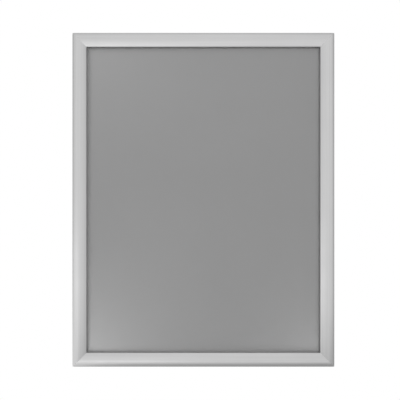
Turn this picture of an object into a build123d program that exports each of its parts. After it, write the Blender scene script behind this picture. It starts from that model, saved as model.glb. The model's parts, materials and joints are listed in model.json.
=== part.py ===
from build123d import *
import os
from collections import namedtuple
from math import asin, atan2, cos, degrees, dist, radians, sin

# An aluminium snap frame that hangs upright on a wall. Its front faces -Y, its back lies on y = 0,
# +Z is up, and the origin is the centre of its back. All lengths are in millimetres.
# A rail's section is drawn in u, the distance inwards from the frame's outer edge,
# and v, the height above the wall.

# Insert that the frame holds, and the rails round it
insert_width = 431.8
insert_height = 558.8
rail_width = 25.4
rail_depth = 12.3
lip_cover = 10.2
mitre_clearance = 0.1
overrun = 2.0

# Sheets in the frame
panel_thickness = 1.2
panel_clearance = 0.1
panel_edge_gap = 1.0
cover_thickness = 0.5
cover_edge_gap = 0.25

# Base rail
base_setback = 0.2
floor_thickness = 1.1
lip_wall = 0.9
lip_height = 3.5
stem_width = 0.9
bead_radius = 1.25
rib_wall = 1.0
rib_above_cover = 0.5
ledge_thickness = 1.0
ledge_setback = 1.0
hook_wall = 0.8
hook_tip_width = 0.5
hook_thickness = 0.6
shelf_width = 0.7
nib_width = 0.4
nib_height = 0.6
nib_drop = 0.15

# Snap rail
skin = 1.0
socket_clearance = 0.08
socket_wall = 0.9
socket_mouth_middle_angle = 240
socket_mouth_angle = 120
stem_gap = 0.2
hinge_drop = 0.5
side_inner_radius = 1.6
shoulder_angle = 35
crest_from_edge = 12.1
slope_angle = 18
nose_inner_radius = 0.5
curl_inner_radius = 0.2
curl_return = 0.6
nose_clearance = 0.2
rail_travel = 90

# Claw on the snap rail, and the leaf springs that bear in it
leaf_thickness = 0.4
leaf_length = 50.0
leaf_corner_length = 3.0
leaf_corner_depth = 2.0
leaf_bow = 0.8
tip_radius = 0.35
tip_clearance = 0.05
cup_wall = 0.5
mouth_margin = 5
claw_arm_width = 0.9
claw_root_angle = -40
claw_floor_gap = 1.1
claw_hook_gap = 0.25
relief_margin = 0.5
long_rail_spring_count = 3
long_rail_pitch = 150.0
short_rail_spring_count = 2
short_rail_pitch = 240.0

# Corner key
key_thickness = 1.1
key_clearance = 0.1
key_side_gap = 0.05
key_leg = 40.0
key_end_chamfer = 2.0
key_hole_radius = 1.7
key_hole_from_end = 8.0
stake_radius = 1.3
stake_tip_radius = 0.8
stake_depth = 0.6

# Screw holes
screw_hole_radius = 2.25
screw_from_edge = 10.0
screw_from_corner = 75.0

# Places worked out from the sizes above
pocket_edge = rail_width - lip_cover
outer_width = insert_width + 2 * pocket_edge
outer_height = insert_height + 2 * pocket_edge
socket_inner = bead_radius + socket_clearance
socket_outer = socket_inner + socket_wall
side_radius = side_inner_radius + skin
nose_radius = nose_inner_radius + skin
curl_radius = curl_inner_radius + skin
shoulder_sin = sin(radians(shoulder_angle))
shoulder_cos = cos(radians(shoulder_angle))
slope_sin = sin(radians(slope_angle))
shoulder_radius = (crest_from_edge - side_radius * (1 - shoulder_sin)) / shoulder_sin
slope_radius = (rail_width - crest_from_edge - nose_radius * (1 - slope_sin)) / slope_sin
side_start = rail_depth - side_radius * shoulder_cos - shoulder_radius * (1 - shoulder_cos)
hinge_u = socket_outer
hinge_v = side_start - hinge_drop
hinge = (hinge_u, hinge_v)
ledge_under = floor_thickness + panel_thickness + panel_clearance
ledge_top = ledge_under + ledge_thickness
cover_top = ledge_top + cover_thickness
rib_top = cover_top + rib_above_cover
rib_face = pocket_edge - rib_wall
hook_under = floor_thickness + key_thickness + key_clearance
hook_top = hook_under + hook_thickness
seat_u = rib_face - tip_radius - tip_clearance
seat_v = hook_top + tip_radius + tip_clearance
cup_radius = tip_radius + tip_clearance
cup_outer = cup_radius + cup_wall

# The spring's seat and the hinge stand on one line, and the claw swings as far to one side of it
# as to the other, so the leaf is equally long with the rail shut and with it open.
seat_angle = degrees(atan2(seat_v - hinge_v, seat_u - hinge_u))
claw_angle = seat_angle - rail_travel / 2
claw_sin = sin(radians(claw_angle))
claw_cos = cos(radians(claw_angle))
claw_v = floor_thickness + claw_floor_gap + cup_outer
claw_reach = (claw_v - hinge_v) / claw_sin
claw_u = hinge_u + claw_reach * claw_cos
leaf_span = dist((claw_u, claw_v), (seat_u, seat_v))
leaf_travel = 2 * degrees(asin(claw_reach * sin(radians(rail_travel / 2)) / leaf_span))
bow_angle = degrees(2 * atan2(2 * leaf_bow, leaf_span))
leaf_play = degrees(asin(leaf_thickness / 2 / cup_radius)) + mouth_margin
cup_mouth_angle = rail_travel + leaf_travel + 2 * leaf_play
hook_face = claw_u + cup_outer + claw_hook_gap
channel_start = hook_face + hook_wall
channel_middle = (channel_start + rib_face) / 2
stake_from_corner = key_leg - key_hole_from_end
claw_relief = hinge_u + claw_reach + cup_outer + relief_margin
socket_relief = hinge_u + relief_margin

# Each side of the frame: its rails' length, how far its outer edge is from the centre, the turn
# about Y that brings a bottom rail there, and how many leaf springs it has and how far apart
Side = namedtuple("Side", "length from_centre turn springs pitch")
sides = {
    "bottom": Side(outer_width, outer_height / 2, 0, short_rail_spring_count, short_rail_pitch),
    "right": Side(outer_height, outer_width / 2, -90, long_rail_spring_count, long_rail_pitch),
    "top": Side(outer_width, outer_height / 2, 180, short_rail_spring_count, short_rail_pitch),
    "left": Side(outer_height, outer_width / 2, 90, long_rail_spring_count, long_rail_pitch),
}


def block(low_u, high_u, low_v, high_v):
    """A rectangle in a section, from its limits."""
    centre = Pos((low_u + high_u) / 2, (low_v + high_v) / 2)
    return centre * Rectangle(high_u - low_u, high_v - low_v)


def outline(*points):
    """A flat face with straight edges."""
    return make_face(Polyline(*points, close=True))


def sector(centre, radius, middle_angle, spread):
    """A slice of a round, spread degrees wide about middle_angle."""
    arc = CenterArc(centre, radius, middle_angle - spread / 2, spread)
    return make_face([arc, Line(arc @ 1, centre), Line(centre, arc @ 0)])


def along_rail(section, start, length, from_centre):
    """Extrudes a section along the bottom of the frame, from x = start."""
    plane = Plane(origin=(start, 0, -from_centre), x_dir=(0, 0, 1), z_dir=(1, 0, 0))
    return extrude(plane * section, amount=length)


def mitred(section, length, from_centre):
    """A bar of the bottom rail's length, cut at 45 degrees at both ends."""
    bar = along_rail(section, -length / 2 - overrun, length + 2 * overrun, from_centre)
    tip = length / 2 - mitre_clearance + overrun
    inner = rail_width + 2 * overrun
    low = -from_centre - overrun
    trapezium = outline((-tip, low), (tip, low), (tip - inner, low + inner), (inner - tip, low + inner))
    return bar & extrude(Plane.XZ * trapezium, amount=rail_depth + overrun, both=True)


def base_section():
    """Floor, outer lip, stem with the hinge bead, key hook, rib with the spring seat, and ledge."""
    floor = block(base_setback, rail_width - ledge_setback, 0, floor_thickness)
    lip = block(base_setback, base_setback + lip_wall, 0, lip_height)
    stem = block(hinge_u - stem_width / 2, hinge_u + stem_width / 2, 0, hinge_v)
    bead = Pos(*hinge) * Circle(bead_radius)
    hook = block(hook_face, channel_start, 0, hook_top)
    hook_tip = block(hook_face, channel_start + hook_tip_width, hook_under, hook_top)
    rib = block(rib_face, pocket_edge, 0, rib_top)
    shelf = block(rib_face - shelf_width, pocket_edge, hook_under, hook_top)
    nib_low = seat_v + tip_radius + tip_clearance
    nib = outline(
        (pocket_edge, nib_low),
        (rib_face, nib_low),
        (rib_face - nib_width, nib_low + nib_drop),
        (rib_face, nib_low + nib_height),
        (pocket_edge, nib_low + nib_height),
    )
    ledge = block(rib_face, rail_width - ledge_setback, ledge_under, ledge_top)
    return floor + lip + stem + bead + hook + hook_tip + rib + shelf + nib + ledge


def stake(height):
    """The punch mark that pins a corner key: a blunt cone that points forwards from a height."""
    cone = Cone(stake_radius, stake_tip_radius, stake_depth, align=(Align.CENTER, Align.CENTER, Align.MIN))
    return Pos(0, -height, 0) * Rot(90, 0, 0) * cone


def base_rail(side, drilled):
    """A mitred base rail, staked to its corner keys, with or without holes for the wall screws."""
    rail = mitred(base_section(), side.length, side.from_centre)
    for end in (-1, 1):
        place = Pos(end * (side.length / 2 - stake_from_corner), 0, channel_middle - side.from_centre)
        rail -= place * stake(0)
        rail += place * stake(floor_thickness)
        if drilled:
            hole = Cylinder(screw_hole_radius, 2 * floor_thickness + overrun, rotation=(90, 0, 0))
            along = end * (side.length / 2 - screw_from_corner)
            rail -= Pos(along, 0, screw_from_edge - side.from_centre) * hole
    return Rot(0, side.turn, 0) * rail


def rail_line(inset):
    """The snap rail's outer line for an inset of zero, or the line inside its skin."""
    rise = Line((inset, hinge_v), (inset, side_start))
    side_arc = JernArc(rise @ 1, (0, 1), side_radius - inset, shoulder_angle - 90)
    shoulder = JernArc(side_arc @ 1, side_arc % 1, shoulder_radius - inset, -shoulder_angle)
    slope = JernArc(shoulder @ 1, (1, 0), slope_radius - inset, -slope_angle)
    nose = JernArc(slope @ 1, slope % 1, nose_radius - inset, slope_angle - 90)
    curl_v = cover_top + nose_clearance + curl_radius
    drop = Line(nose @ 1, (rail_width - inset, curl_v))
    curl = JernArc(drop @ 1, (0, -1), curl_radius - inset, -90)
    lip = Line(curl @ 1, curl @ 1 - Vector(curl_return, 0))
    return [rise, side_arc, shoulder, slope, nose, drop, curl, lip]


def snap_section():
    """Curved skin with a curled nose, hinge socket round the bead, and claw for the springs."""
    outer = rail_line(0)
    inner = rail_line(skin)
    ends = [Line(outer[-1] @ 1, inner[-1] @ 1), Line(inner[0] @ 0, outer[0] @ 0)]
    shell = make_face(outer + inner + ends)
    socket_mouth = sector(hinge, socket_outer + overrun, socket_mouth_middle_angle, socket_mouth_angle)
    socket = Pos(*hinge) * Circle(socket_outer) - socket_mouth
    root = Vector(*hinge) + Vector(socket_outer - claw_arm_width / 2, 0).rotate(Axis.Z, claw_root_angle)
    claw_tip = Vector(claw_u, claw_v)
    arm = trace(Line(root, claw_tip), claw_arm_width) + Pos(root) * Circle(claw_arm_width / 2)
    cup = Pos(claw_tip) * Circle(cup_outer)
    mouth = sector(claw_tip, cup_outer + overrun, claw_angle + bow_angle, cup_mouth_angle)
    edge_v = hinge_v + stem_width / 2 + stem_gap
    side_cut = block(-overrun, hinge_u, 0, edge_v)
    section = shell + socket - side_cut + arm + cup
    section -= mouth
    section -= Pos(claw_tip) * Circle(cup_radius)
    return section - Pos(*hinge) * Circle(socket_inner)


def snap_rail(side):
    """A mitred snap rail, with its socket and claw cut back at the ends, clear of its neighbours'."""
    rail = mitred(snap_section(), side.length, side.from_centre)
    diagonal = hinge_u + hinge_v
    tip_part = outline((-overrun, diagonal + overrun), (diagonal, 0), (-overrun, 0))
    claw_part = block(-overrun, claw_relief, 0, hinge_v)
    for section, relief in ((tip_part, socket_relief), (claw_part, claw_relief)):
        for start in (-side.length / 2 - overrun, side.length / 2 - relief):
            rail -= along_rail(section, start, relief + overrun, side.from_centre)
    return Rot(0, side.turn, 0) * rail


def leaf_spring(side, place):
    """A bowed steel leaf, from its seat on the base rail's rib to the cup in the snap rail's claw."""
    seat = Vector(seat_u, seat_v)
    tip = Vector(claw_u, claw_v)
    across = (tip - seat).normalized()
    crown = (seat + tip) / 2 + Vector(across.Y, -across.X) * leaf_bow
    leaf = trace(ThreePointArc(seat, crown, tip), leaf_thickness)
    ends = [Pos(seat) * Circle(tip_radius), Pos(tip) * Circle(tip_radius)]
    middle = (place - (side.springs - 1) / 2) * side.pitch
    body = along_rail(leaf + ends, middle - leaf_length / 2, leaf_length, side.from_centre)
    seat_edge = seat_u + tip_radius - side.from_centre
    for end in (-1, 1):
        corner = outline(
            (middle + end * (leaf_length / 2 - leaf_corner_length), seat_edge),
            (middle + end * leaf_length / 2, seat_edge - leaf_corner_depth),
            (middle + end * (leaf_length / 2 + overrun), seat_edge + overrun),
        )
        body -= extrude(Plane.XZ * corner, amount=rail_depth)
    return Rot(0, side.turn, 0) * body


def corner_key(x_side, z_side):
    """A flat steel angle that lies in the channels of two base rails and joins them."""
    near = channel_start + key_side_gap
    far = rib_face - key_side_gap
    cut = key_end_chamfer
    plate = outline(
        (near + cut, near),
        (key_leg - cut, near),
        (key_leg, near + cut),
        (key_leg, far - cut),
        (key_leg - cut, far),
        (far, far),
        (far, key_leg - cut),
        (far - cut, key_leg),
        (near + cut, key_leg),
        (near, key_leg - cut),
        (near, near + cut),
    )
    for spot in ((stake_from_corner, channel_middle), (channel_middle, stake_from_corner)):
        plate -= Pos(*spot) * Circle(key_hole_radius)
    corner = Plane(
        origin=(x_side * outer_width / 2, -floor_thickness, z_side * outer_height / 2),
        x_dir=(-x_side, 0, 0),
        z_dir=(0, -x_side * z_side, 0),
    )
    return extrude(corner * plate, amount=x_side * z_side * key_thickness)


def back_panel():
    """The stiff plastic sheet in the slots behind the ledges."""
    edge = pocket_edge + panel_edge_gap
    sheet = Box(outer_width - 2 * edge, panel_thickness, outer_height - 2 * edge)
    return Pos(0, -floor_thickness - panel_clearance / 2 - panel_thickness / 2, 0) * sheet


def cover_sheet():
    """The clear anti-glare sheet that lies on the ledges."""
    sheet = Box(insert_width - 2 * cover_edge_gap, cover_thickness, insert_height - 2 * cover_edge_gap)
    return Pos(0, -ledge_top - cover_thickness / 2, 0) * sheet


def all_pieces():
    pieces = {"back_panel": back_panel(), "cover_sheet": cover_sheet()}
    for name, side in sides.items():
        pieces[f"{name}_base_rail"] = base_rail(side, drilled=name in ("left", "right"))
        pieces[f"{name}_snap_rail"] = snap_rail(side)
        for place in range(side.springs):
            pieces[f"{name}_leaf_spring_{place + 1}"] = leaf_spring(side, place)
    for x_side, x_name in ((-1, "left"), (1, "right")):
        for z_side, z_name in ((-1, "bottom"), (1, "top")):
            pieces[f"{z_name}_{x_name}_corner_key"] = corner_key(x_side, z_side)
    return pieces


os.makedirs("parts", exist_ok=True)
for name, piece in all_pieces().items():
    export_step(piece, f"parts/{name}.step")
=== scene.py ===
import json
from math import acos, atan2, ceil, cos, degrees, pi, radians, sin

import bmesh
import bpy
from mathutils import Matrix, Vector
from mathutils.geometry import delaunay_2d_cdt


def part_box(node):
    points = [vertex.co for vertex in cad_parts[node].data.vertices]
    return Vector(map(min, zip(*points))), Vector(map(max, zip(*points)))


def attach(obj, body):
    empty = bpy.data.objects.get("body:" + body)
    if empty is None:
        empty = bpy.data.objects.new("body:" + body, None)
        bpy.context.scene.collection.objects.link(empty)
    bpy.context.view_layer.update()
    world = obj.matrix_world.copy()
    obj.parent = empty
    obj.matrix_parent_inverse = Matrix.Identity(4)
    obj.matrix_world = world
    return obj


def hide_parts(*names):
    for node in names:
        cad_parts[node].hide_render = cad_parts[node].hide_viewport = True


# An empty aluminium snap frame, seen straight on. Lengths are in metres, in the frame of the CAD:
# its front faces -Y, its back lies on y = 0 and the origin is the centre of its back.
# A rail's section is drawn in u, the distance inwards from the frame's outer edge,
# and v, the height above the wall. Angles are in degrees.

MM = 0.001

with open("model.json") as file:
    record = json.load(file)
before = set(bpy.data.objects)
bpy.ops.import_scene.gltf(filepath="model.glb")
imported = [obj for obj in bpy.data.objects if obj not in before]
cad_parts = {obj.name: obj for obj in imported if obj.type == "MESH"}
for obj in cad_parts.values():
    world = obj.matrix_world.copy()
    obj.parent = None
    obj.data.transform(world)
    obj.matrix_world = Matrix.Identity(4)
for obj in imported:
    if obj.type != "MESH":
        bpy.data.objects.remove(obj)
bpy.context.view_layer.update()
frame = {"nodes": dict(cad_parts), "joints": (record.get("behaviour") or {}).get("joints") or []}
scene = bpy.context.scene
scene.view_settings.view_transform = "Standard"

# Sizes read from the frame
bottom_low, bottom_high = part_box("bottom_snap_rail")
left_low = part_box("left_snap_rail")[0]
joints = {joint["name"]: joint for joint in frame["joints"]}
hinge_place = joints["bottom_snap_hinge"]["pos_m"]
half_height = -bottom_low.z
half_width = -left_low.x
rail_width = bottom_high.z - bottom_low.z
rail_depth = -bottom_low.y
hinge_u = half_height + hinge_place[2]
hinge_v = -hinge_place[1]

# Snap rail section, as on the CAD's snap rail
skin = 1.0 * MM
side_radius = 2.6 * MM
shoulder_angle = 35
crest_from_edge = 12.1 * MM
slope_angle = 18
nose_radius = 1.5 * MM
curl_radius = 1.2 * MM
curl_centre_v = 5.3 * MM
curl_return = 0.6 * MM
side_edge_above_hinge = 0.65 * MM
socket_inner = 1.33 * MM
socket_outer = 2.23 * MM
socket_start_angle = -60
claw_arm_width = 0.9 * MM
claw_root_angle = -40
claw_from_edge = 4.0886 * MM
claw_height = 3.1 * MM
cup_inner = 0.4 * MM
cup_outer = 0.9 * MM
cup_start_angle = 54.9
cup_end_angle = 224.3
claw_relief = 7.2485 * MM
socket_relief = 2.73 * MM

# How far each rail's ends are pulled back at the mitres
mitre_gap = 0.03 * MM

# How finely the rails are drawn, and how far the cutters reach past them
flatness = 0.004 * MM
merge_gap = 0.001 * MM
flat_angle = 0.1
edge_round = 0.06 * MM
edge_round_steps = 2
rounded_angle = 40
sharp_angle = 38
overrun = 2 * MM

# The turn about Y that brings a bottom rail to each side, and its half length and distance out
SIDES = {
    "bottom": (0, half_width, half_height),
    "right": (-90, half_height, half_width),
    "top": (180, half_width, half_height),
    "left": (90, half_height, half_width),
}


def arc(centre, radius, start, end):
    """Points along an arc in the section, close enough together to look round."""
    step = 2 * degrees(acos(1 - flatness / radius))
    count = ceil(abs(end - start) / step)
    angles = [radians(start + (end - start) * i / count) for i in range(count + 1)]
    return [(centre[0] + radius * cos(a), centre[1] + radius * sin(a)) for a in angles]


def shifted(centre, distance, angle):
    """A point at a distance from another, along an angle."""
    return centre[0] + distance * cos(radians(angle)), centre[1] + distance * sin(radians(angle))


def rail_line(inset):
    """The snap rail's outer line for an inset of zero, or the line inside its skin."""
    shoulder_sin = sin(radians(shoulder_angle))
    shoulder_cos = cos(radians(shoulder_angle))
    slope_sin = sin(radians(slope_angle))
    shoulder_radius = (crest_from_edge - side_radius * (1 - shoulder_sin)) / shoulder_sin
    slope_radius = (rail_width - crest_from_edge - nose_radius * (1 - slope_sin)) / slope_sin
    side_start = rail_depth - side_radius * shoulder_cos - shoulder_radius * (1 - shoulder_cos)
    side_centre = (side_radius, side_start)
    shoulder_end = 90 + shoulder_angle
    slope_end = 90 - slope_angle
    shoulder_centre = shifted(side_centre, side_radius - shoulder_radius, shoulder_end)
    slope_centre = shifted(shoulder_centre, shoulder_radius - slope_radius, 90)
    nose_centre = shifted(slope_centre, slope_radius - nose_radius, slope_end)
    curl_centre = (rail_width - curl_radius, curl_centre_v)
    points = [(inset, hinge_v + side_edge_above_hinge)]
    points += arc(side_centre, side_radius - inset, 180, shoulder_end)
    points += arc(shoulder_centre, shoulder_radius - inset, shoulder_end, 90)[1:]
    points += arc(slope_centre, slope_radius - inset, 90, slope_end)[1:]
    points += arc(nose_centre, nose_radius - inset, slope_end, 0)[1:]
    points += arc(curl_centre, curl_radius - inset, 0, -90)
    lip_u, lip_v = points[-1]
    return points + [(lip_u - curl_return, lip_v)]


def ring(centre, inner, outer, start, end):
    """A part of a ring in the section."""
    return arc(centre, outer, start, end) + arc(centre, inner, end, start)


def bar(start, end, width):
    """A straight web of even width in the section."""
    along = Vector(end) - Vector(start)
    across = along.orthogonal().normalized() * width / 2
    corners = (Vector(start) + across, Vector(end) + across, Vector(end) - across, Vector(start) - across)
    return [tuple(corner) for corner in corners]


def snap_outlines():
    """Curved skin, hinge socket, claw arm and cup, as outlines that overlap where they join."""
    hinge = (hinge_u, hinge_v)
    claw = (claw_from_edge, claw_height)
    shell = rail_line(0) + rail_line(skin)[::-1]
    socket_end = 180 - degrees(atan2(side_edge_above_hinge, socket_outer))
    socket = ring(hinge, socket_inner, socket_outer, socket_start_angle, socket_end)
    root = shifted(hinge, (socket_inner + socket_outer) / 2, claw_root_angle)
    back = atan2(root[1] - claw[1], root[0] - claw[0])
    arm_end = shifted(claw, (cup_inner + cup_outer) / 2, degrees(back))
    arm = bar(root, arm_end, claw_arm_width)
    cup = ring(claw, cup_inner, cup_outer, cup_start_angle, cup_end_angle)
    return [shell, socket, arm, cup]


def merged(outlines):
    """The area that closed outlines cover together, as points and triangles."""
    points, loops = [], []
    for outline in outlines:
        loops.append(list(range(len(points), len(points) + len(outline))))
        points += [Vector(point) for point in outline]
    triangles_inside = 1
    made = delaunay_2d_cdt(points, [], loops, triangles_inside, merge_gap, True)
    found, _, faces, _, _, origins = made
    covered = [face for face, origin in zip(faces, origins) if origin]
    return [tuple(point) for point in found], covered


def linked(name, data):
    """A new object in the scene."""
    made = bpy.data.objects.new(name, data)
    scene.collection.objects.link(made)
    return made


def solid(name, mesh):
    """A new object from a finished bmesh, with its faces turned outwards."""
    bmesh.ops.recalc_face_normals(mesh, faces=mesh.faces)
    data = bpy.data.meshes.new(name)
    mesh.to_mesh(data)
    mesh.free()
    return linked(name, data)


def mitred_bar(name, outlines, half_length, from_centre):
    """A bottom rail's bar with a section, cut at 45 degrees at both ends."""
    points, triangles = merged(outlines)
    mesh = bmesh.new()
    reach = half_length - mitre_gap
    rows = []
    for end in (-1, 1):
        rows.append([mesh.verts.new((end * (reach - u), -v, u - from_centre)) for u, v in points])
    pairs = []
    for a, b, c in triangles:
        mesh.faces.new((rows[0][a], rows[0][b], rows[0][c]))
        mesh.faces.new((rows[1][c], rows[1][b], rows[1][a]))
        pairs += [(a, b), (b, c), (c, a)]
    directed = set(pairs)
    for a, b in pairs:
        if (b, a) not in directed:
            mesh.faces.new((rows[0][b], rows[0][a], rows[1][a], rows[1][b]))
    # The sawn ends, which are triangles until they are joined below, take the second material
    for face in mesh.faces:
        face.material_index = 1 if len(face.verts) == 3 else 0
    mesh.normal_update()
    loose = [vert for vert in mesh.verts if not vert.link_faces]
    bmesh.ops.delete(mesh, geom=loose, context="VERTS")
    flat = radians(flat_angle)
    kept = {"NORMAL", "MATERIAL"}
    bmesh.ops.dissolve_limit(mesh, angle_limit=flat, verts=mesh.verts, edges=mesh.edges, delimit=kept)
    return solid(name, mesh)


def cutter(outline, start, end, from_centre):
    """A prism along the bottom rail that cuts it back."""
    mesh = bmesh.new()
    rows = [[mesh.verts.new((x, -v, u - from_centre)) for u, v in outline] for x in (start, end)]
    mesh.faces.new(rows[0])
    mesh.faces.new(rows[1][::-1])
    for i, here in enumerate(rows[0]):
        mesh.faces.new((rows[0][i - 1], here, rows[1][i], rows[1][i - 1])[::-1])
    return solid("cutter", mesh)


def cut(piece, tools):
    """Takes the tools' volumes out of a piece."""
    for tool in tools:
        modifier = piece.modifiers.new("cut", "BOOLEAN")
        modifier.operation = "DIFFERENCE"
        modifier.solver = "EXACT"
        modifier.object = tool
    bake_modifiers(piece)
    for tool in tools:
        bpy.data.objects.remove(tool)


def bake_modifiers(piece):
    """Makes what a piece's modifiers do part of its mesh."""
    graph = bpy.context.evaluated_depsgraph_get()
    made = bpy.data.meshes.new_from_object(piece.evaluated_get(graph))
    piece.modifiers.clear()
    piece.data = made


def snap_rail(side):
    """A fine snap rail in place of the CAD's, with slightly rounded edges."""
    turn, half_length, from_centre = SIDES[side]
    piece = mitred_bar(f"{side}_rail_cover", snap_outlines(), half_length, from_centre)
    diagonal = hinge_u + hinge_v
    tip_part = [(-overrun, diagonal + overrun), (diagonal + overrun, -overrun), (-overrun, -overrun)]
    claw_part = [(-overrun, -overrun), (claw_relief, -overrun), (claw_relief, hinge_v), (-overrun, hinge_v)]
    tools = []
    for outline, relief in ((claw_part, claw_relief), (tip_part, socket_relief)):
        for end in (-1, 1):
            limits = (end * (half_length - relief), end * (half_length + overrun))
            tools.append(cutter(outline, min(limits), max(limits), from_centre))
    cut(piece, tools)
    piece.data.transform(Matrix.Rotation(radians(turn), 4, "Y"))
    soften(piece)
    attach(piece, f"{side}_snap")
    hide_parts(f"{side}_snap_rail")


def soften(piece):
    """Rounds a piece's edges a little and shades its curves smooth."""
    bevel = piece.modifiers.new("edges", "BEVEL")
    bevel.width = edge_round
    bevel.segments = edge_round_steps
    bevel.limit_method = "ANGLE"
    bevel.angle_limit = radians(rounded_angle)
    bevel.use_clamp_overlap = True
    bake_modifiers(piece)
    piece.data.shade_smooth()
    piece.data.set_sharp_from_angle(angle=radians(sharp_angle))


# Materials

# Most of a noise lies between these two values
noise_low = 0.3
noise_high = 0.7

# The dark and the light tone of each material
SILVER = ((0.525, 0.525, 0.527), (0.605, 0.605, 0.607))
PLAIN_METAL = ((0.43, 0.43, 0.433), (0.53, 0.53, 0.533))
SAWN_METAL = ((0.55, 0.55, 0.553), (0.7, 0.7, 0.703))
ZINC = ((0.25, 0.258, 0.27), (0.42, 0.43, 0.44))
GREY_PLASTIC = ((0.250, 0.250, 0.251), (0.272, 0.272, 0.273))
CLEAR_PLASTIC = ((0.80, 0.80, 0.80), (0.86, 0.86, 0.86))
FLOOR_PAINT = ((0.82, 0.82, 0.82), (0.86, 0.86, 0.86))

# The middle roughness of the anodised rails, and how far lines, marks and wear move it
cover_roughness = 0.34
base_roughness = 0.42
line_roughness = 0.03
marks_smoother = 0.03
marks_rougher = 0.04
wear_smoother = 0.08

# The lowest and the highest roughness of the others, and how far smears move the clear sheet's
SAWN_ROUGHNESS = (0.28, 0.42)
ZINC_ROUGHNESS = (0.24, 0.42)
GREY_ROUGHNESS = (0.55, 0.7)
CLEAR_ROUGHNESS = (0.30, 0.38)
SMEAR_ROUGHNESS = (-0.03, 0.04)
floor_roughness = 0.8

# How high the etched grain stands beside the die lines, and how milky the clear sheet is
grain_height = 0.5
haze = 0.08

# Noise that marks the materials: its scale per metre along X, Y and Z, its detail and its roughness
PATTERNS = {
    "etched_grain": ((5200, 5200, 5200), 1.0, 0.5),
    "handling_marks": ((26, 26, 26), 4.0, 0.6),
    "ragged_edge": ((900, 900, 900), 2.0, 0.5),
    "saw_marks": ((90, 3600, 90), 3.0, 0.6),
    "saw_burr": ((700, 700, 700), 2.0, 0.5),
    "zinc_clouds": ((420, 420, 420), 3.0, 0.6),
    "rolling_lines": ((60, 3200, 3200), 2.0, 0.5),
    "sheet_grain": ((1500, 1500, 1500), 3.0, 0.6),
    "sheet_clouds": ((5, 5, 5), 2.0, 0.5),
    "clear_grain": ((2600, 2600, 2600), 2.0, 0.6),
    "smears": ((9, 9, 30), 3.0, 0.55),
    "floor_clouds": ((3, 3, 3), 2.0, 0.5),
}

# The same for marks along a rail: scale along it, scale across it, detail and roughness
DIE_LINES = (7, 2600, 3.0, 0.65)
DIE_BANDS = (2, 420, 2.0, 0.5)

# The bare line along a mitre's edge: how far it is fully bare, where it ends, and how its edge strays
wear_inner = 0.15 * MM
wear_outer = 0.5 * MM
ragged_in = -0.1 * MM
ragged_out = 0.15 * MM


def add_node(tree, kind, **inputs):
    """A new node, with values for its inputs by name."""
    node = tree.nodes.new(kind)
    for name, value in inputs.items():
        node.inputs[name.replace("_", " ")].default_value = value
    return node


def new_material(name):
    """An empty material, its node tree and its Principled shader."""
    material = bpy.data.materials.new(name)
    material.use_nodes = True
    return material, material.node_tree, material.node_tree.nodes["Principled BSDF"]


def object_noise(tree, scale, detail, rough):
    """Noise with a scale per metre along X, Y and Z of the piece."""
    place = tree.nodes.new("ShaderNodeTexCoord")
    stretch = add_node(tree, "ShaderNodeMapping", Scale=scale)
    noise = add_node(tree, "ShaderNodeTexNoise", Scale=1.0, Detail=detail, Roughness=rough)
    tree.links.new(place.outputs["Object"], stretch.inputs["Vector"])
    tree.links.new(stretch.outputs["Vector"], noise.inputs["Vector"])
    return noise.outputs["Fac"]


def pattern(tree, name):
    """One of the patterns, by name."""
    return object_noise(tree, *PATTERNS[name])


def rail_pattern(tree, along, lengthwise, crosswise, detail, rough):
    """Noise that is coarse along a rail's axis and fine across it."""
    scale = tuple(lengthwise if axis == along else crosswise for axis in "XYZ")
    return object_noise(tree, scale, detail, rough)


def axes(tree, coordinates):
    """The X, Y and Z of a place on a piece, or of a direction in the world."""
    place = tree.nodes.new("ShaderNodeTexCoord")
    split = tree.nodes.new("ShaderNodeSeparateXYZ")
    tree.links.new(place.outputs[coordinates], split.inputs["Vector"])
    return split.outputs


def spread(tree, value, first, last, start=noise_low, end=noise_high):
    """Goes from the first result to the last while a value goes from its start to its end."""
    remap = tree.nodes.new("ShaderNodeMapRange")
    numbers = {"From Min": start, "From Max": end, "To Min": first, "To Max": last}
    for name, number in numbers.items():
        remap.inputs[name].default_value = number
    tree.links.new(value, remap.inputs["Value"])
    return remap.outputs["Result"]


def combine(tree, operation, a, b=0):
    """Maths on two values, either of which may be a plain number, or on the first alone."""
    node = tree.nodes.new("ShaderNodeMath")
    node.operation = operation
    for socket, value in zip(node.inputs, (a, b)):
        if isinstance(value, (int, float)):
            socket.default_value = value
        else:
            tree.links.new(value, socket)
    return node.outputs["Value"]


def tint(tree, shader, value, tones):
    """Colours a shader between two tones by a value from 0 to 1."""
    mix = tree.nodes.new("ShaderNodeMix")
    mix.data_type = "RGBA"
    mix.inputs["A"].default_value = (*tones[0], 1)
    mix.inputs["B"].default_value = (*tones[1], 1)
    tree.links.new(value, mix.inputs["Factor"])
    tree.links.new(mix.outputs["Result"], shader.inputs["Base Color"])


def raise_surface(tree, shader, height, distance, strength):
    """A fine relief on a shader."""
    bump = add_node(tree, "ShaderNodeBump", Strength=strength, Distance=distance)
    tree.links.new(height, bump.inputs["Height"])
    tree.links.new(bump.outputs["Normal"], shader.inputs["Normal"])


def blend(tree, first, second, share):
    """Two noises added, the first with a share of the sum and the second with the rest."""
    return combine(tree, "ADD", spread(tree, first, 0, share), spread(tree, second, 0, 1 - share))


def mitre_wear(tree):
    """1 on the thin bare line along a mitre's edge, where sawing took the anodised skin off."""
    place = axes(tree, "Object")
    across = combine(tree, "ABSOLUTE", place["X"])
    up = combine(tree, "ABSOLUTE", place["Z"])
    offset = combine(tree, "SUBTRACT", combine(tree, "SUBTRACT", up, across), half_height - half_width)
    ragged = spread(tree, pattern(tree, "ragged_edge"), ragged_in, ragged_out)
    distance = combine(tree, "ADD", combine(tree, "ABSOLUTE", offset), ragged)
    return spread(tree, distance, 1.0, 0.0, wear_inner, wear_outer)


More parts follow.
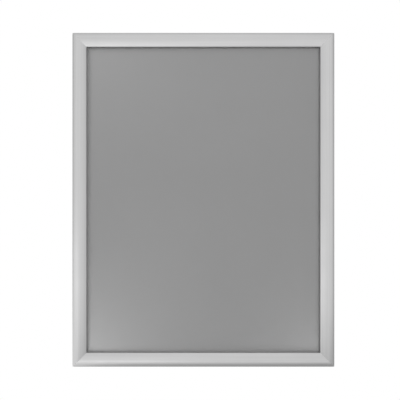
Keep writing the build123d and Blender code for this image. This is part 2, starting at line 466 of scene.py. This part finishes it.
def aluminium(name, along, tones, roughness):
    """Satin anodised extrusion: die lines along the rail, an etched grain and faint handling marks."""
    material, tree, shader = new_material(name)
    lines = rail_pattern(tree, along, *DIE_LINES)
    bands = rail_pattern(tree, along, *DIE_BANDS)
    grain = pattern(tree, "etched_grain")
    marks = pattern(tree, "handling_marks")
    wear = mitre_wear(tree)
    tint(tree, shader, combine(tree, "ADD", blend(tree, lines, bands, share=0.5), wear), tones)
    by_lines = spread(tree, lines, roughness - line_roughness, roughness + line_roughness)
    by_marks = spread(tree, marks, -marks_smoother, marks_rougher)
    by_wear = combine(tree, "MULTIPLY", wear, wear_smoother)
    rough = combine(tree, "SUBTRACT", combine(tree, "ADD", by_lines, by_marks), by_wear)
    tree.links.new(rough, shader.inputs["Roughness"])
    relief = combine(tree, "ADD", lines, combine(tree, "MULTIPLY", grain, grain_height))
    raise_surface(tree, shader, relief, distance=0.012 * MM, strength=0.6)
    shader.inputs["Metallic"].default_value = 1.0
    return material


def sawn_aluminium(name):
    """A bare mitre face, with the saw's fine marks along the cut."""
    material, tree, shader = new_material(name)
    marks = pattern(tree, "saw_marks")
    tint(tree, shader, blend(tree, marks, pattern(tree, "saw_burr"), share=0.7), SAWN_METAL)
    tree.links.new(spread(tree, marks, *SAWN_ROUGHNESS), shader.inputs["Roughness"])
    raise_surface(tree, shader, marks, distance=0.02 * MM, strength=0.7)
    shader.inputs["Metallic"].default_value = 1.0
    return material


def zinc_steel(name):
    """Zinc-plated spring steel with a soft cloudy pattern and fine rolling lines."""
    material, tree, shader = new_material(name)
    clouds = pattern(tree, "zinc_clouds")
    lines = pattern(tree, "rolling_lines")
    tint(tree, shader, blend(tree, clouds, lines, share=0.6), ZINC)
    tree.links.new(spread(tree, clouds, *ZINC_ROUGHNESS), shader.inputs["Roughness"])
    raise_surface(tree, shader, lines, distance=0.006 * MM, strength=0.5)
    shader.inputs["Metallic"].default_value = 1.0
    return material


def grey_sheet(name):
    """Matt grey plastic with a fine calendered grain."""
    material, tree, shader = new_material(name)
    grain = pattern(tree, "sheet_grain")
    tint(tree, shader, blend(tree, grain, pattern(tree, "sheet_clouds"), share=0.4), GREY_PLASTIC)
    tree.links.new(spread(tree, grain, *GREY_ROUGHNESS), shader.inputs["Roughness"])
    raise_surface(tree, shader, grain, distance=0.003 * MM, strength=0.4)
    return material


def clear_sheet(name):
    """Clear anti-glare plastic: a thin milky haze and a rough, soft reflection."""
    material, tree, shader = new_material(name)
    grain = pattern(tree, "clear_grain")
    smears = pattern(tree, "smears")
    tint(tree, shader, smears, CLEAR_PLASTIC)
    by_grain = spread(tree, grain, *CLEAR_ROUGHNESS)
    by_smears = spread(tree, smears, *SMEAR_ROUGHNESS)
    tree.links.new(combine(tree, "ADD", by_grain, by_smears), shader.inputs["Roughness"])
    raise_surface(tree, shader, grain, distance=0.004 * MM, strength=0.4)
    shader.inputs["Alpha"].default_value = haze
    return material


def coat(piece, *materials):
    """Puts materials on a piece, the first on its faces as a rule."""
    piece.data.materials.clear()
    for material in materials:
        piece.data.materials.append(material)


def dress():
    """Gives every carried-over CAD node and every new piece its material."""
    covers = {axis: aluminium(f"cover_aluminium_{axis}", axis, SILVER, cover_roughness) for axis in "XZ"}
    bases = {axis: aluminium(f"base_aluminium_{axis}", axis, PLAIN_METAL, base_roughness) for axis in "XZ"}
    sawn = sawn_aluminium("sawn_aluminium")
    steel = zinc_steel("zinc_steel")
    for side in SIDES:
        axis = "X" if side in ("top", "bottom") else "Z"
        coat(bpy.data.objects[f"{side}_rail_cover"], covers[axis], sawn)
        coat(frame["nodes"][f"{side}_base_rail"], bases[axis])
    for name, node in frame["nodes"].items():
        if "leaf_spring" in name or "corner_key" in name:
            coat(node, steel)
    coat(frame["nodes"]["back_panel"], grey_sheet("grey_sheet"))
    coat(frame["nodes"]["cover_sheet"], clear_sheet("clear_sheet"))


# Studio

WHITE = (1, 1, 1, 1)

# Light on plain surfaces from all around
room_light = 0.44

# What metal and clear sheets see in the room, by direction. A row gives the axis, where a change
# starts, the level there, where it ends and the level there. The lighter of front and back counts,
# and the rest is added to it.
ROOM_LEVELS = {
    "front": ("Y", -0.8, 1.015, 0.2, 0.52),
    "back": ("Y", 0.2, 0.5, 0.9, 0.8),
    "left": ("X", -0.95, -0.12, -0.6, 0.04),
    "right": ("X", 0.38, 0.0, 0.87, -0.21),
    "below": ("Z", -0.6, 0.13, -0.1, 0.0),
}

# The same for what they see of the floor, by place. This is a glow painted into the floor: painted shade
# close to the frame, painted light far to the left and painted shade to the right. Depth and outside are
# added up to a cap, and then left and right are added.
PAINTED_FLOOR_LEVELS = {
    "depth": ("Y", -0.62, 1.03, -0.28, 0.57),
    "outside": ("X", -0.37, 0.75, -0.27, 0.0),
    "left": ("X", -0.23, 0.05, -0.05, -0.03),
    "right": ("X", 0.05, 0.0, 0.4, -0.08),
}
floor_cap = 1.05

# The floor's edges and height, and where it fades to white for the camera
floor_left, floor_right = -1.2, 1.2
floor_near, floor_far = -0.7, 0.6
floor_height = -0.5
fade_start = 0.25
fade_end = 0.58
fade_squeeze = 0.5

# Soft boxes: place, where each points, width, height, brightness, and whether metal mirrors it
LAMPS = {
    "front_right": ((0.8, -1.6, 0.7), (0, 0, 0), 0.9, 0.9, 4.2, False),
    "upper_left": ((-0.45, -0.3, 0.5), (-0.1, 0, 0.1), 0.3, 0.3, 3.9, False),
    "left_glow": ((-0.28, -0.14, -0.34), (-0.2, 0, -0.28), 0.1, 0.1, 7.7, False),
    "right_glow": ((0.24, -0.07, -0.34), (0.2, 0, -0.29), 0.1, 0.1, 2.6, False),
    "behind": ((0, 1.7, 0.75), (0, 0, 0), 1.8, 0.9, 1.6, False),
    "above": ((0, 0.5, 1.5), (0, 0.1, -0.5), 1.2, 0.8, 1.2, False),
    "lower_left": ((-0.87, -0.85, -0.5), (-0.87, 0, -0.5), 1.5, 0.7, 0.3, True),
}


def levels(tree, place, table):
    """The changes in a table of levels, by name."""
    made = {}
    for name, (axis, start, first, end, last) in table.items():
        made[name] = spread(tree, place[axis], first, last, start, end)
    return made


def studio_world():
    """White for the camera, graded light for metal and clear sheets to mirror, plain light on the rest."""
    world = bpy.data.worlds.new("studio")
    world.use_nodes = True
    tree = world.node_tree
    tree.nodes.clear()
    path, mirrored = mirrored_rays(tree)
    light = add_node(tree, "ShaderNodeBackground", Color=WHITE, Strength=room_light)
    white = add_node(tree, "ShaderNodeBackground", Color=WHITE, Strength=1.0)
    room = add_node(tree, "ShaderNodeBackground", Color=WHITE)
    level = levels(tree, axes(tree, "Generated"), ROOM_LEVELS)
    depth = combine(tree, "MAXIMUM", level["front"], level["back"])
    depth = combine(tree, "ADD", depth, level["below"])
    strength = combine(tree, "ADD", depth, combine(tree, "ADD", level["left"], level["right"]))
    tree.links.new(strength, room.inputs["Strength"])
    surface = either(tree, mirrored, light, room)
    surface = either(tree, path.outputs["Is Camera Ray"], surface, white)
    out = tree.nodes.new("ShaderNodeOutputWorld")
    tree.links.new(surface.outputs[0], out.inputs["Surface"])
    scene.world = world


def mirrored_rays(tree):
    """The light path, and 1 for what metal and clear sheets see."""
    path = tree.nodes.new("ShaderNodeLightPath")
    return path, combine(tree, "MAXIMUM", path.outputs["Is Glossy Ray"], path.outputs["Is Transmission Ray"])


def either(tree, factor, first, second):
    """The second shader where the factor is 1, and the first where it is 0."""
    mix = tree.nodes.new("ShaderNodeMixShader")
    tree.links.new(factor, mix.inputs["Fac"])
    tree.links.new(first.outputs[0], mix.inputs[1])
    tree.links.new(second.outputs[0], mix.inputs[2])
    return mix


def soft_light(name, place, target, width, height, radiance, mirrored):
    """A soft box that points at a place, and that metal mirrors or not."""
    data = bpy.data.lights.new(name, "AREA")
    data.shape = "RECTANGLE"
    data.size = width
    data.size_y = height
    data.energy = radiance * pi * width * height
    lamp = linked(name, data)
    lamp.location = place
    lamp.rotation_euler = (Vector(target) - Vector(place)).to_track_quat("-Z", "Y").to_euler()
    lamp.visible_camera = False
    lamp.visible_glossy = mirrored


def floor():
    """A pale floor that fades to white for the camera. Metal sees it as a painted glow, darker towards the
    frame as painted shade.
    """
    mesh = bpy.data.meshes.new("floor")
    near_edge = [(floor_left, floor_near, floor_height), (floor_right, floor_near, floor_height)]
    far_edge = [(floor_right, floor_far, floor_height), (floor_left, floor_far, floor_height)]
    mesh.from_pydata(near_edge + far_edge, [], [(0, 1, 2, 3)])
    ground = linked("floor", mesh)
    material, tree, shader = new_material("pale_floor")
    tint(tree, shader, pattern(tree, "floor_clouds"), FLOOR_PAINT)
    shader.inputs["Roughness"].default_value = floor_roughness
    level = levels(tree, axes(tree, "Object"), PAINTED_FLOOR_LEVELS)
    main = combine(tree, "ADD", level["depth"], level["outside"])
    main = combine(tree, "MINIMUM", main, floor_cap)
    strength = combine(tree, "ADD", main, combine(tree, "ADD", level["left"], level["right"]))
    # What metal and clear sheets mirror of the floor is a painted glow: painted shade near the frame,
    # painted light far to the left, painted shade to the right
    painted_reflection = add_node(tree, "ShaderNodeEmission", Color=WHITE)
    tree.links.new(strength, painted_reflection.inputs["Strength"])
    path, mirrored = mirrored_rays(tree)
    surface = either(tree, mirrored, shader, painted_reflection)
    fade = spread(tree, floor_radius(tree), 0.0, 1.0, fade_start, fade_end)
    white = add_node(tree, "ShaderNodeEmission", Color=WHITE, Strength=1.0)
    faded = combine(tree, "MULTIPLY", fade, path.outputs["Is Camera Ray"])
    surface = either(tree, faded, surface, white)
    tree.links.new(surface.outputs[0], tree.nodes["Material Output"].inputs["Surface"])
    coat(ground, material)


def floor_radius(tree):
    """The distance from the point below the frame's back, shortened along X so that the fade is an oval."""
    place = tree.nodes.new("ShaderNodeTexCoord")
    flattened = add_node(tree, "ShaderNodeMapping", Scale=(fade_squeeze, 1, 0))
    radius = tree.nodes.new("ShaderNodeVectorMath")
    radius.operation = "LENGTH"
    tree.links.new(place.outputs["Object"], flattened.inputs["Vector"])
    tree.links.new(flattened.outputs["Vector"], radius.inputs[0])
    return radius.outputs["Value"]


def camera():
    """Straight on, at the photograph's framing."""
    # The outline's width and middle in the photograph, and how far forward the rails' outer rim is
    photo_side = 400
    width_px = 262.0
    centre_px = (203.4, 199.8)
    rim_y = -0.008
    data = bpy.data.cameras.new("camera")
    data.lens = 100
    data.sensor_width = 36
    view = 2 * half_width * photo_side / width_px
    pixel = view / photo_side
    distance = view * data.lens / data.sensor_width
    across = (photo_side / 2 - centre_px[0]) * pixel
    up = (centre_px[1] - photo_side / 2) * pixel
    eye = linked("camera", data)
    eye.location = (across, rim_y - distance, up)
    eye.rotation_euler = (radians(90), 0, 0)
    scene.camera = eye


for side in SIDES:
    snap_rail(side)
dress()
studio_world()
for name, settings in LAMPS.items():
    soft_light(name, *settings)
floor()
camera()
